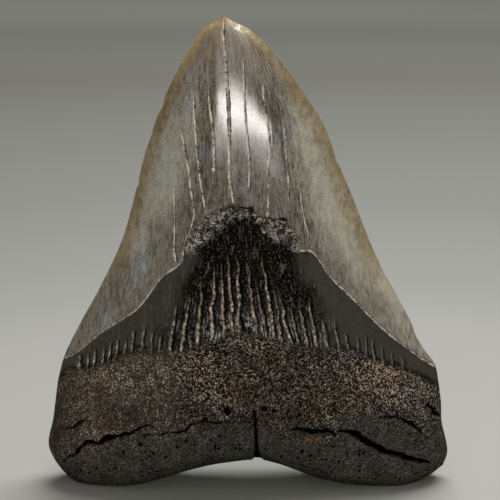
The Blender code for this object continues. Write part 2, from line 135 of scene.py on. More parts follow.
# Fissures of the front of the root: the route, the greatest width, the depth and the height of the lower lip.
FISSURES = (
    (((-52.2, 6.8), (-50.4, 8.9), (-48.8, 9.3), (-46.4, 12.4), (-44.4, 13.5), (-42.1, 13.3), (-39.8, 14.6),
      (-35.8, 15.6), (-31.8, 17.2), (-29.5, 18.7), (-26.2, 19.2)), 1.0, 2.8, 0.55),
    (((-34.0, 14.8), (-29.0, 16.1), (-25.4, 16.8), (-21.4, 17.2), (-18.1, 17.6), (-16.4, 19.1), (-13.0, 20.7),
      (-9.0, 20.5), (-5.0, 20.7), (1.6, 21.0)), 0.6, 1.4, 0.3),
    (((-51.8, 17.0), (-49.5, 17.5), (-47.2, 18.9), (-44.8, 19.9)), 0.65, 1.4, 0.45),
    (((11.7, 18.6), (15.3, 18.5), (19.2, 17.9), (22.0, 17.8), (25.0, 16.9)), 1.3, 3.0, 0.55),
    (((24.6, 18.0), (27.6, 17.5), (29.9, 16.6), (31.8, 15.0), (34.1, 13.4), (37.0, 11.8), (40.1, 10.4),
      (43.6, 9.5), (47.1, 8.3), (51.0, 7.3)), 1.7, 3.6, 0.6),
    (((36.3, 21.7), (40.0, 21.2), (42.3, 20.7), (44.8, 19.6), (46.9, 18.3), (48.4, 16.1), (50.4, 14.2)), 0.9,
     1.6, 0.3),
    (((50.0, 23.2), (52.4, 20.6), (54.9, 17.8)), 1.0, 1.4, 0.2),
    (((-29.0, 4.8), (-25.2, 6.0), (-20.7, 6.8), (-16.2, 7.2)), 0.4, 0.8, 0.15),
    (((12.5, 8.4), (20.0, 6.0), (27.0, 4.6)), 0.4, 0.8, 0.15),
    (((-5.5, 22.4), (-2.5, 22.2), (1.5, 22.3)), 0.4, 0.8, 0.15),
)
CLEFT = ((1.9, 23.4), (2.1, 19.3), (2.2, 15.5), (2.5, 11.8), (2.7, 8.0), (2.9, 4.8))
CLEFT_WIDTHS = (0.55, 4.0)                   # at its top and at the arch
CLEFT_DEPTH = 4.0
HOLES = ((-5.8, 23.5, 0.95), (4.8, 24.4, 0.75), (7.2, 23.7, 0.6), (-11.8, 21.6, 0.6), (-29.9, 13.6, 0.6),
         (-34.8, 11.2, 0.45), (-19.6, 13.2, 0.4), (-23.0, 10.4, 0.4), (-37.4, 6.4, 0.5), (-9.0, 12.0, 0.35),
         (15.2, 12.2, 0.5), (23.4, 13.0, 0.4), (17.4, 11.0, 0.45), (-26.2, 11.4, 0.5))       # x, z and radius
HOLE_DEPTH = 2.2

# Where the bone's specks are paler, partly painted glints, and where it is stained ochre: x, z, half-width, half-height
# and strength.
PALE_SPECK_AND_GLINT_SPOTS = ((-8.4, 28.8, 5.5, 3.6, 0.9), (-13.5, 36.5, 7.5, 5.0, 0.8), (29.7, 22.3, 1.4, 2.2, 1.0),
              (-6.0, 22.1, 1.8, 0.8, 1.0), (37.5, 33.0, 7.0, 4.0, 1.0), (41.0, 28.0, 4.0, 4.0, 0.6),
              (20.2, 15.9, 7.0, 1.1, 1.0), (-38.6, 31.0, 7.0, 4.5, 0.8), (1.5, 41.8, 9.0, 1.6, 0.9),
              (-18.0, 17.2, 9.0, 0.8, 0.5), (-45.0, 16.0, 5.0, 1.0, 0.5), (31.0, 13.6, 4.0, 1.2, 0.7))
OCHRE_SPOTS = ((6.4, 21.8, 2.2, 1.7, 1.0), (-1.0, 20.6, 3.0, 0.9, 0.9), (-2.7, 30.0, 2.8, 5.0, 0.75),
               (-6.0, 22.1, 1.8, 0.8, 0.6), (-14.0, 38.0, 4.0, 3.0, 0.5), (-37.0, 17.6, 5.0, 0.9, 0.8),
               (19.0, 16.4, 8.0, 1.0, 0.8), (39.0, 32.0, 6.0, 4.0, 0.5), (-44.0, 26.0, 9.0, 8.0, 0.18),
               (24.0, 27.0, 8.0, 3.0, 0.3), (-36.0, 8.0, 3.0, 1.5, 0.3))
# Where the bone is darker, in the same columns; the two spots at the root's far left and far right ends are painted
# shade.
DIM_SPOTS = ((-32.5, 22.5, 8.0, 3.5, 0.9), (12.0, 24.0, 7.0, 3.0, 0.6), (-53.0, 15.0, 6.5, 9.0, 0.85),
             (-12.0, 24.5, 4.0, 2.0, 0.4), (55.5, 12.0, 4.0, 10.0, 0.6))
FLARE = ((-2.2, 82.0, 2.6, 2.8, 1.0), (-4.2, 86.5, 0.9, 3.0, 0.6))        # rough grey enamel over the patch
CRACK_PIT = (-9.5, 90.3, 0.45)              # x, z and radius of the little pit that a crack ends in
OPEN_CRACK = (4, 96.5, 113.5)               # which front crack stands open, and between which heights

# Small nicks in the cutting edges: the height, the side, the depth and the half-length.
NICKS = ((106.5, -1, 0.55, 1.5), (84.4, -1, 0.35, 0.8), (91.4, 1, 0.35, 1.0), (59.0, 1, 0.25, 2.5),
         (41.0, 1, 0.4, 2.0), (97.5, -1, 0.2, 2.5))

COLUMNS = 280
ROOT_ROWS = 106
CROWN_ROWS = 146
CURVE_STEPS = 24
OUTLINE_STEP = 0.06       # spacing of the points that stand for the outline when distances are worked out


# ---- curves ----------------------------------------------------------------------------------------------

def smooth_curve(points):
    """A dense smooth curve through the points: a Hermite curve with tangents from each point's neighbours."""
    points = np.array(points, dtype=float)
    knots = np.concatenate(([0.0], np.cumsum(np.linalg.norm(np.diff(points, axis=0), axis=1) ** 0.5)))
    slopes = np.gradient(points, knots, axis=0)
    pieces = []
    for i in range(len(points) - 1):
        span = knots[i + 1] - knots[i]
        t = np.linspace(0.0, 1.0, CURVE_STEPS, endpoint=False)[:, None]
        pieces.append((2 * t**3 - 3 * t**2 + 1) * points[i] + (t**3 - 2 * t**2 + t) * span * slopes[i]
                      + (3 * t**2 - 2 * t**3) * points[i + 1] + (t**3 - t**2) * span * slopes[i + 1])
    return np.concatenate(pieces + [points[-1:]])


def lengths_along(curve):
    return np.concatenate(([0.0], np.cumsum(np.linalg.norm(np.diff(curve, axis=0), axis=1))))


def along(curve, shares):
    """Points at the given shares of a dense curve's length."""
    length = lengths_along(curve)
    wanted = np.asarray(shares) * length[-1]
    return np.stack([np.interp(wanted, length, curve[:, k]) for k in range(2)], axis=1)


def height_on(points, x):
    """Height of a curve that runs from left to right, at the given x."""
    curve = smooth_curve(points)
    return np.interp(x, np.maximum.accumulate(curve[:, 0]), curve[:, 1])


def smooth_step(value, low, high):
    t = np.clip((value - low) / (high - low), 0.0, 1.0)
    return t * t * (3.0 - 2.0 * t)


def bell(value, middle, width):
    return np.exp(-((value - middle) / width) ** 2)


def crowded(count, at_start, at_end):
    """Shares from 0 to 1 whose spacing shrinks over the first and last stretch that is given."""
    middle = (np.arange(count) + 0.5) / count
    spacing = np.ones(count)
    if at_start:
        spacing = np.minimum(spacing, 0.05 + middle / at_start)
    if at_end:
        spacing = np.minimum(spacing, 0.05 + (1.0 - middle) / at_end)
    return np.concatenate(([0.0], np.cumsum(spacing))) / spacing.sum()


# ---- the two sheets --------------------------------------------------------------------------------------

def loft_between(bottom, top, left, right):
    """A grid of points between four edges that meet at their ends."""
    across = np.linspace(0.0, 1.0, len(bottom))[None, :, None]
    up = np.linspace(0.0, 1.0, len(left))[:, None, None]
    rows = (1 - across) * left[:, None] + across * right[:, None]
    columns = (1 - up) * bottom[None] + up * top[None]
    corners = ((1 - across) * (1 - up) * bottom[0] + across * (1 - up) * bottom[-1]
               + (1 - across) * up * top[0] + across * up * top[-1])
    return rows + columns - corners


def outline_grid():
    """The (x, z) places of the sheets' points: the root's rows, then the crown's rows."""
    across = crowded(COLUMNS, 0.07, 0.07)
    up_root = crowded(ROOT_ROWS, 0.16, 0.0)
    up_crown = crowded(CROWN_ROWS, 0.0, 0.1)
    root_line = along(smooth_curve(ROOT_LINE), across)
    root = loft_between(along(smooth_curve(BOTTOM), across), root_line,
                        along(smooth_curve(ROOT_LEFT), up_root), along(smooth_curve(ROOT_RIGHT), up_root))
    crown = loft_between(root_line, along(smooth_curve(TIP), across),
                         along(smooth_curve(CROWN_LEFT), up_crown), along(smooth_curve(CROWN_RIGHT), up_crown))
    return np.concatenate([root, crown[1:]])


def distance_to_outline(x, z):
    """Distance of each point from the tooth's outline."""
    edges = [smooth_curve(points) for points in (BOTTOM, ROOT_RIGHT, CROWN_RIGHT, TIP, CROWN_LEFT, ROOT_LEFT)]
    dense = np.concatenate([along(edge, np.linspace(0, 1, int(lengths_along(edge)[-1] / OUTLINE_STEP)))
                            for edge in edges])
    tree = kdtree.KDTree(len(dense))
    for k, (a, b) in enumerate(dense):
        tree.insert((a, b, 0.0), k)
    tree.balance()
    nearest = [tree.find((a, b, 0.0))[2] for a, b in zip(x.ravel(), z.ravel())]
    return np.array(nearest).reshape(x.shape)


def place_across(x, z):
    """Place across the crown: -1 on the left cutting edge, 0 on the middle line and 1 on the right."""
    left, right = (smooth_curve(points + tip) for points, tip in
                   ((CROWN_LEFT, TIP[1:4]), (CROWN_RIGHT, TIP[5:2:-1])))
    left_x = np.interp(z, left[:, 1], left[:, 0])
    right_x = np.interp(z, right[:, 1], right[:, 0])
    return np.clip((2.0 * x - left_x - right_x) / np.maximum(right_x - left_x, 0.5), -1.0, 1.0)


def lumps(x, z, size, seed):
    """Smooth unevenness between about -1 and 1."""
    flat = [noise.noise(Vector((a / size, b / size, seed))) for a, b in zip(x.ravel(), z.ravel())]
    return np.array(flat).reshape(x.shape) * 1.6


def crown_depth(x, z, swelling, power_low, power_high):
    """Depth of the crown's face: a rounded lens across, and bowed from the root line to the tip."""
    rise = np.clip(z / TIP[3][1], 0.0, 1.0)
    bow = height_on(tuple(zip(BOW_RISE, BOW_SHARE)), rise)
    power = power_low + (power_high - power_low) * smooth_step(rise, 0.25, 0.65)
    across = 1.0 - np.abs(place_across(x, z)) ** power
    return swelling * bow * across ** 1.1


def root_depth(x, z, line_depth, swelling, ledge, rim_distance):
    """Depth of the root's face: it leaves the crown at the ledge and swells to its full bulge below."""
    below = np.clip(height_on(ROOT_LINE, x) - z, 0.0, None)
    swollen = np.sin(np.clip(below / SWELL_HEIGHT, 0.0, 1.0) * np.pi / 2) ** 1.3
    bulge = swelling * (1.0 - 0.42 * np.clip(np.abs(x) / 56.0, 0.0, 1.0) ** 2.2)
    rounding = np.sqrt(1.0 - (1.0 - np.clip(rim_distance / ROOT_ROUNDING, 0.0, 1.0)) ** 2)
    edge_share = np.clip(rim_distance / 2.0, 0.0, 1.0)
    start = line_depth + ledge * edge_share * smooth_step(below, 0.0, 1.4)
    return (start + (bulge - start) * swollen) * rounding


# ---- lines on the surface ----------------------------------------------------------------------------------

def to_route(x, z, curve):
    """Distance of each point from a dense curve, and the nearest place's share of its length."""
    best = np.full(x.shape, 1e9)
    share = np.zeros(x.shape)
    length = lengths_along(curve)
    for k in range(len(curve) - 1):
        start, run = curve[k], curve[k + 1] - curve[k]
        t = np.clip(((x - start[0]) * run[0] + (z - start[1]) * run[1]) / (run @ run), 0.0, 1.0)
        away = np.hypot(x - start[0] - t * run[0], z - start[1] - t * run[1])
        nearer = away < best
        best = np.where(nearer, away, best)
        share = np.where(nearer, (length[k] + t * (length[k + 1] - length[k])) / length[-1], share)
    return best, share


def phase_between(x, lines):
    """Which lines each point lies between: k on line k, and halfway from k to k + 1 between them."""
    phase = np.full(x.shape, -0.5)
    for k in range(len(lines) - 1):
        share = (x - lines[k]) / np.maximum(lines[k + 1] - lines[k], 0.3)
        phase = np.where(x >= lines[k], k + np.clip(share, 0.0, 1.0), phase)
    before = (x - lines[0]) / 4.0
    after = (x - lines[-1]) / 4.0
    phase = np.where(x < lines[0], np.maximum(before, -0.5), phase)
    return np.where(x > lines[-1], len(lines) - 1 + np.minimum(after, 0.5), phase)


def gap_and_gain(phase, lines, gains):
    """The spacing of the lines and the strength of the nearest one, worked out smoothly between them."""
    steps = [np.maximum(b - a, 0.3) for a, b in zip(lines, lines[1:])]
    gap = np.zeros(phase.shape)
    gain = np.zeros(phase.shape)
    for k in range(len(lines)):
        share = np.clip(1.0 - np.abs(phase - k), 0.0, 1.0)
        near = steps[max(0, k - 1):k + 1]
        gap = gap + share * sum(near) / len(near)
        gain = gain + share * gains[k]
    return np.where(gap > 0, gap, 4.0), gain


def crack_lines(x, z, cracks):
    """Phase, spacing and strength of the enamel cracks."""
    lines, gains = [], []
    for route, strength in cracks:
        curve = smooth_curve(route)[::-1]
        lines.append(np.interp(z, curve[:, 1], curve[:, 0]))
        top, foot = route[0][1], route[-1][1]
        gains.append(strength * smooth_step(z, foot - 1.0, foot + 1.5) * smooth_step(-z, -top - 1.0, -top + 4.0))
    phase = phase_between(x, lines)
    return (phase, *gap_and_gain(phase, lines, gains))


def spots(x, z, table):
    """1 in the middle of each spot of a table, fading out round it."""
    shares = [strength * bell(x, spot_x, wide) * bell(z, spot_z, high) for spot_x, spot_z, wide, high, strength in table]
    return np.max(shares, axis=0)


def open_crack(z, phase):
    """1 where the front's widest crack stands open."""
    number, low, high = OPEN_CRACK
    return smooth_step(z, low, low + 3.0) * (1.0 - smooth_step(z, high - 2.0, high)) * (np.abs(phase - number) < 0.5)


def stria_lines(x, z, line_z):
    """Phase, spacing and strength of the tan ridges of the bare band."""
    above = z - line_z
    wander = 0.42 * lumps(x * 0.6, z, 4.0, 21.0)
    lines, gains = [], []
    for foot_x, top_x, reach, strength in STRIAE:
        rise = np.clip(above / reach, -0.2, 1.5)
        fade = 1.08 if reach < 9.0 else 1.35
        lines.append(foot_x + (top_x - foot_x) * rise + wander * min(1.0, reach / 9.0))
        ends = smooth_step(above, -1.2, 0.6) * (1.0 - smooth_step(rise, 0.55, fade) ** 0.9)
        gains.append(strength * ends)
    phase = phase_between(x, lines)
    return (phase, *gap_and_gain(phase, lines, gains))


def press_fissures(x, z):
    """How deep the fissures, the cleft and the holes go, how far the lips stand out, and the distance outside
    the nearest of them."""
    warped_x = x + 0.35 * lumps(x, z, 1.7, 31.0)
    warped_z = z + 0.45 * lumps(x, z, 2.1, 32.0)
    depth, lip = np.zeros(x.shape), np.zeros(x.shape)
    outside = np.full(x.shape, 9.0)
    for route, width, deep, lip_height in FISSURES:
        curve = smooth_curve(route)[::6]
        away, share = to_route(warped_x, warped_z, curve)
        taper = 0.22 + 0.78 * np.sin(np.pi * np.clip(share, 0.0, 1.0)) ** 0.6
        half = width / 2 * taper
        below = height_on(route, warped_x) - warped_z
        depth = np.maximum(depth, deep * taper * np.clip(1.25 - away / half, 0.0, 1.0) ** 0.8)
        lip = lip + lip_height * taper * bell(below, half + 0.7, 0.9) * (away < 4.0)
        lip = lip + 0.4 * lip_height * taper * bell(-below, half + 0.9, 1.2) * (away < 4.0)
        outside = np.minimum(outside, away - half)
    away, share = to_route(warped_x, warped_z, smooth_curve(CLEFT)[::6])
    half = (CLEFT_WIDTHS[0] + (CLEFT_WIDTHS[1] - CLEFT_WIDTHS[0]) * share ** 3.5) / 2
    depth = np.maximum(depth, CLEFT_DEPTH * np.clip(1.4 - away / half, 0.0, 1.0) ** 0.8)
    outside = np.minimum(outside, away - half)
    for hole_x, hole_z, radius in HOLES:
        away = np.hypot(warped_x - hole_x, warped_z - hole_z)
        depth = np.maximum(depth, HOLE_DEPTH * radius * np.clip(1.5 - away / radius, 0.0, 1.0))
        outside = np.minimum(outside, away - radius)
    return depth, lip, outside


# ---- relief ------------------------------------------------------------------------------------------------

def patch_mask(x, z, above_edge):
    """1 inside the broken patch at the top of the bare band."""
    ragged = 0.7 * lumps(x, z, 1.6, 41.0)
    inside = smooth_step(z - height_on(CHIP_FLOOR, x) + ragged, -0.9, 3.6) * smooth_step(-above_edge, -0.3, 0.4)
    return inside * (1.0 - smooth_step(np.abs(x + 1.8), 15.6, 16.8))


def front_relief(x, z, rim, above_edge, patch, line_z):
    relief = ENAMEL_THICKNESS * smooth_step(above_edge, -0.35, 0.35)
    broken = 0.8 + 0.7 * lumps(x, z, 2.6, 4.0) + 0.35 * lumps(x, z, 1.1, 5.0)
    relief = relief - patch * CHIP_DEPTH * broken
    on_root = smooth_step(line_z - z, 0.0, 4.0)
    bone = lumps(x, z, 13.0, 1.0) + 0.7 * lumps(x, z, 5.0, 2.0) + 0.3 * lumps(x, z, 1.8, 8.0)
    relief = relief + on_root * LUMP_HEIGHT * bone
    relief = relief + (1.0 - on_root) * 0.06 * lumps(x * 2.0, z * 0.5, 7.0, 3.0)
    return relief * np.clip(rim / 3.0, 0.0, 1.0)


def back_relief(x, z, rim, above_edge):
    relief = ENAMEL_THICKNESS * smooth_step(above_edge, -0.5, 0.5)
    hollow = -0.9 * np.exp(-((z - 49.0) / 8.0) ** 2 - (x / 22.0) ** 2)
    on_root = smooth_step(-above_edge, 0.0, 4.0)
    bone = lumps(x, z, 12.0, 6.0) + 0.6 * lumps(x, z, 5.0, 7.0) + 0.35 * lumps(x, z, 2.4, 9.0)
    relief = relief + hollow + on_root * LUMP_HEIGHT * bone
    relief = relief + (1.0 - on_root) * 0.1 * lumps(x * 2.0, z * 0.3, 5.0, 10.0)
    return relief * np.clip(rim / 3.0, 0.0, 1.0)


def sheets():
    """The front and back sheets as grids of (x, y, z) points, and the values that the material reads."""
    grid = outline_grid()
    x, z = grid[..., 0], grid[..., 1]
    rim = distance_to_outline(x, z)
    line_z = height_on(ROOT_LINE, x)
    below_line = line_z - z
    rim_y = -ROOT_SET_FORWARD * smooth_step(-z, -46.0, -8.0) * (1.0 - smooth_step(rim, 0.0, 14.0))
    nicked = x.copy()
    for height, side, deep, half in NICKS:
        at_edge = bell(z, height, half) * (1.0 - smooth_step(rim, 0.0, 2.0)) * (side * x > 0)
        nicked = nicked - side * deep * at_edge

    made, values = [], []
    for face, swelling, root_swelling, ledge, powers, edge, cracks in (
            (-1.0, CROWN_FRONT, ROOT_FRONT, LEDGE, (3.0, 2.1), ENAMEL_EDGE, FRONT_CRACKS),
            (1.0, CROWN_BACK, ROOT_BACK, 0.6 * LEDGE, (3.6, 2.6), BACK_ENAMEL_EDGE, BACK_CRACKS)):
        crown = crown_depth(x, z, swelling, *powers)
        at_line = crown_depth(x, line_z, swelling, *powers)
        depth = np.where(below_line > 1e-6, root_depth(x, z, at_line, root_swelling, ledge, rim), crown)
        above_edge = z - height_on(edge, x)
        phase, gap, gain = crack_lines(x, z, cracks)
        value = {"crack_phase": phase, "crack_gap": gap, "crack_gain": gain * smooth_step(above_edge, 0.0, 1.0),
                 "place": place_across(x, z), "above_edge": above_edge, "below_line": below_line, "rim": rim,
                 "back": np.full(x.shape, 0.5 + 0.5 * face)}
        if face < 0:
            patch = patch_mask(x, z, above_edge)
            pressed, lip, outside = press_fissures(x, z)
            inner = np.clip(rim / 1.5, 0.0, 1.0)
            depth = depth + front_relief(x, z, rim, above_edge, patch, line_z) + (lip - pressed) * inner
            value |= {"crack_open": open_crack(z, phase), "pale": spots(x, z, PALE_SPECK_AND_GLINT_SPOTS),
                      "ochre": spots(x, z, OCHRE_SPOTS), "flare": spots(x, z, FLARE), "dim": spots(x, z, DIM_SPOTS)}
            phase, gap, gain = stria_lines(x, z, line_z)
            value |= {"stria_phase": phase, "stria_gap": gap, "stria_gain": gain, "patch": patch,
                      "outside_fissure": outside}
        else:
            depth = depth + back_relief(x, z, rim, above_edge)
            value |= {"stria_phase": np.full(x.shape, 0.5), "stria_gap": np.full(x.shape, 4.0),
                      "stria_gain": np.zeros(x.shape), "patch": np.zeros(x.shape),
                      "outside_fissure": np.full(x.shape, 9.0), "crack_open": np.zeros(x.shape),
                      "pale": 0.4 * bell(below_line, 6.0, 6.0), "ochre": np.zeros(x.shape),
                      "flare": np.zeros(x.shape), "dim": np.zeros(x.shape)}
        depth[0, :] = depth[:, 0] = depth[:, -1] = depth[-1, :] = 0.0
        made.append(np.stack([nicked, rim_y + face * depth, z], axis=-1))
        values.append(value)
    return made, values


def in_the_frame(front, back):
    """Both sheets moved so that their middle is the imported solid's, and ground flat at the floor."""
    low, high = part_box("tooth")
    middle = (np.array(low) + np.array(high)) / 2 / MM
    both = np.concatenate([front.reshape(-1, 3), back.reshape(-1, 3)])
    shift = (both.min(axis=0) + both.max(axis=0)) / 2 - middle
    shift[2] = 0.0
    moved = [sheet - shift for sheet in (front, back)]
    for sheet in moved:
        sheet[..., 2] = np.maximum(sheet[..., 2], 0.0)
    return moved


# ---- the mesh ----------------------------------------------------------------------------------------------

def ring_round(j, i, last_j, last_i):
    """The corners of a back face, which is two cells wide, with the front's points where they share an edge."""
    ring = [(j, i)]
    ring += [(j, i + 1)] if j == 0 else []
    ring += [(j, i + 2)]
    ring += [(j + 1, i + 2)] if i + 2 == last_i else []
    ring += [(j + 2, i + 2)]
    ring += [(j + 2, i + 1)] if j + 2 == last_j else []
    ring += [(j + 2, i)]
    ring += [(j + 1, i)] if i == 0 else []
    return ring


def tooth_mesh():
    """One closed mesh: the front on the full grid and the back on every second point of it."""
    (front, back), (front_values, back_values) = sheets()
    front, back = in_the_frame(front, back)
    rows, columns = front.shape[:2]
    last_j, last_i = rows - 1, columns - 1
    front_ids = np.arange(rows * columns).reshape(rows, columns)
    back_ids = front_ids.copy()
    inner = np.zeros(front_ids.shape, dtype=bool)
    inner[2:last_j:2, 2:last_i:2] = True
    back_ids[inner] = rows * columns + np.arange(inner.sum())
    points = np.concatenate([front.reshape(-1, 3), back[inner]]) * MM

    faces = [(front_ids[j, i], front_ids[j, i + 1], front_ids[j + 1, i + 1], front_ids[j + 1, i])
             for j in range(last_j) for i in range(last_i)]
    faces += [tuple(back_ids[a] for a in reversed(ring_round(j, i, last_j, last_i)))
              for j in range(0, last_j, 2) for i in range(0, last_i, 2)]
    mesh = bpy.data.meshes.new("tooth_surface")
    mesh.from_pydata(points.tolist(), [], [tuple(int(a) for a in face) for face in faces])
    for name, value in front_values.items():
        both = np.concatenate([value.ravel(), back_values[name][inner]])
        mesh.attributes.new(name, "FLOAT", "POINT").data.foreach_set("value", both.astype(np.float32))
    mesh.shade_smooth()
    mesh.set_sharp_from_angle(angle=math.radians(80.0))
    return mesh


# ---- node helpers ------------------------------------------------------------------------------------------

def linear(srgb):
    """A linear colour from one written as 0 to 255."""
    parts = [c / 255.0 for c in srgb]
    return tuple(c / 12.92 if c <= 0.04045 else ((c + 0.055) / 1.055) ** 2.4 for c in parts) + (1.0,)


class Graph:
    """Short names for the shader nodes of one material."""

    def __init__(self, tree):
        self.tree = tree

    def node(self, kind, **settings):
        made = self.tree.nodes.new(kind)
        for key, value in settings.items():
            setattr(made, key, value)
        return made

    def feed(self, socket, value):
        if isinstance(value, bpy.types.NodeSocket):
            self.tree.links.new(value, socket)
        else:
            socket.default_value = value

    def value_of(self, name):
        return self.node("ShaderNodeAttribute", attribute_name=name).outputs["Fac"]

    def math(self, operation, *values, clamp=False):
        made = self.node("ShaderNodeMath", operation=operation, use_clamp=clamp)
        for socket, value in zip(made.inputs, values):
            self.feed(socket, value)
        return made.outputs[0]

    def add(self, a, b):
        return self.math("ADD", a, b)

    def times(self, *values):
        product = values[0]
        for value in values[1:]:
            product = self.math("MULTIPLY", product, value)
        return product

    def less(self, value):
        """1 minus the value."""
        return self.math("SUBTRACT", 1.0, value, clamp=True)

    def size(self, value):
        return self.math("ABSOLUTE", value)

    def centred(self, value):
        """A noise's value, moved to lie round zero."""
        return self.math("SUBTRACT", value, 0.5)

    def step(self, value, low, high):
        """0 below low and 1 above high, or the other way round where low is above high."""
        made = self.node("ShaderNodeMapRange", interpolation_type="SMOOTHSTEP")
        ends = (low, high, 0.0, 1.0) if low < high else (high, low, 1.0, 0.0)
        for socket, entry in zip(made.inputs, (value, *ends)):
            self.feed(socket, entry)
        return made.outputs[0]

    def mix(self, factor, a, b):
        made = self.node("ShaderNodeMix", data_type="RGBA", clamp_factor=True)
        for index, entry in ((0, factor), (6, a), (7, b)):
            self.feed(made.inputs[index], entry)
        return made.outputs[2]

    def scaled(self, colour, factor):
        made = self.node("ShaderNodeVectorMath", operation="SCALE")
        self.feed(made.inputs[0], colour)
        self.feed(made.inputs["Scale"], factor)
        return made.outputs[0]

    def vector(self, a, b, c):
        made = self.node("ShaderNodeCombineXYZ")
        for socket, entry in zip(made.inputs, (a, b, c)):
            self.feed(socket, entry)
        return made.outputs[0]

    def noise(self, where, size, detail=2.0, rough=0.55):
        """Noise with lumps of about that size, 0 to 1 round 0.5."""
        made = self.node("ShaderNodeTexNoise")
        self.feed(made.inputs["Vector"], where)
        for name, entry in (("Scale", 1.0 / size), ("Detail", detail), ("Roughness", rough)):
            self.feed(made.inputs[name], entry)
        return made.outputs["Fac"]

    def cells(self, where, size):
        """Scattered cells: the distance to a cell's middle as a share of the spacing, and its own random value."""
        made = self.node("ShaderNodeTexVoronoi", feature="F1")
        self.feed(made.inputs["Vector"], where)
        self.feed(made.inputs["Scale"], 1.0 / size)
        apart = self.node("ShaderNodeSeparateXYZ")
        self.feed(apart.inputs[0], made.outputs["Color"])
        return made.outputs["Distance"], apart.outputs[0]


# ---- the fossil's material ---------------------------------------------------------------------------------

ENAMEL_MIDDLE = (103, 94, 82)
ENAMEL_BROWN = (89, 75, 58)
ENAMEL_PALE_AND_SHEEN = (176, 171, 157)
ENAMEL_BLUE_WHITE_AND_SHEEN = (158, 168, 170)
ENAMEL_BLUE = (93, 100, 105)
OCHRE = (150, 126, 80)
OLIVE = (112, 98, 66)
FLARE_GREY = (40, 40, 37)
FLARE_SPECK = (150, 145, 135)
CRACK_PALE = (236, 219, 201)
CRACK_DARK = (18, 16, 13)
BAND_DARK = (5, 5, 3)
BAND_BLUE = (54, 56, 58)
BAND_STREAK = (104, 98, 85)
BAND_FIBRE = (138, 130, 112)
BAND_FLANK = (56, 55, 47)
BAND_SATIN = (70, 67, 59)
BAND_GLINT = (198, 198, 198)
STRIA_BROWN = (98, 83, 67)
STRIA_TAN = (250, 230, 205)
STRIA_PALE = (238, 231, 213)
STRIA_GROOVE = (8, 7, 5)
PATCH_DARK = (5, 5, 4)
PATCH_GREY = (84, 80, 71)
PATCH_SCRATCH_AND_GLINT = (244, 233, 222)
ROOT_BROWN = (54, 42, 32)
ROOT_GREY = (43, 42, 39)
ROOT_LEFT_GREY = (60, 54, 46)
ROOT_SPECK_AND_GLINT = (204, 188, 168)
ROOT_TAN = (186, 156, 118)
OCHRE_STAIN = (86, 63, 40)
LIP_GREY = (69, 68, 62)
PORE_AND_FISSURE_SHADE = (4, 3, 3)


def places(graph):
    """The surface's own x and z in millimetres, and a vector in millimetres for the noises."""
    coordinates = graph.node("ShaderNodeTexCoord").outputs["Object"]
    where = graph.scaled(coordinates, 1.0 / MM)
    split = graph.node("ShaderNodeSeparateXYZ")
    graph.feed(split.inputs[0], where)
    return split.outputs[0], split.outputs[2], where


def line_nearby(graph, kind, warp):
    """Signed distance in millimetres to the nearest crack or ridge, and its strength."""
    phase = graph.value_of(f"{kind}_phase")
    nearest = graph.math("ROUND", phase)
    signed = graph.times(graph.math("SUBTRACT", phase, nearest), graph.value_of(f"{kind}_gap"))
    return graph.add(signed, warp), graph.value_of(f"{kind}_gain")


def line_core(graph, signed, gain, half, soft):
    """1 on the line and 0 beside it; weak lines are thinner as well as fainter."""
    width = graph.add(graph.times(gain, 0.8), 0.2)
    past = graph.math("SUBTRACT", graph.math("DIVIDE", graph.size(signed), width), half)
    return graph.times(graph.step(past, soft, 0.0), graph.step(gain, 0.0, 0.35))


